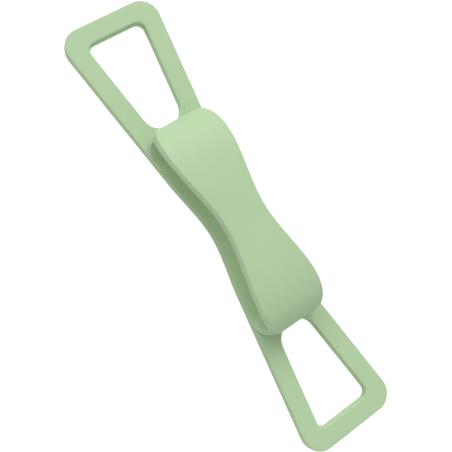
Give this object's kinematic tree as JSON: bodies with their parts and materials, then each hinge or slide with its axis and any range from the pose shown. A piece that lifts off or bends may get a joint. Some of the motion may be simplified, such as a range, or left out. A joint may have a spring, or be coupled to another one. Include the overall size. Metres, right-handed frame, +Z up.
{
  "type": "phone finger strap",
  "caption": "One-piece soft silicone finger strap for a phone: flat waisted plate with a window at each end and a raised finger loop over its middle.",
  "frame": {"origin": "centre of the underside, the flat face that lies on the phone", "axes": "+X along the strap, +Y across it, +Z up out of the phone, towards the finger loop"},
  "size_m": [0.13, 0.0282, 0.017],
  "materials": {
    "silicone": "matte moulded silicone, pale green"
  },
  "bodies": {
    "root": {"strap": "silicone"}
  },
  "joints": []
}
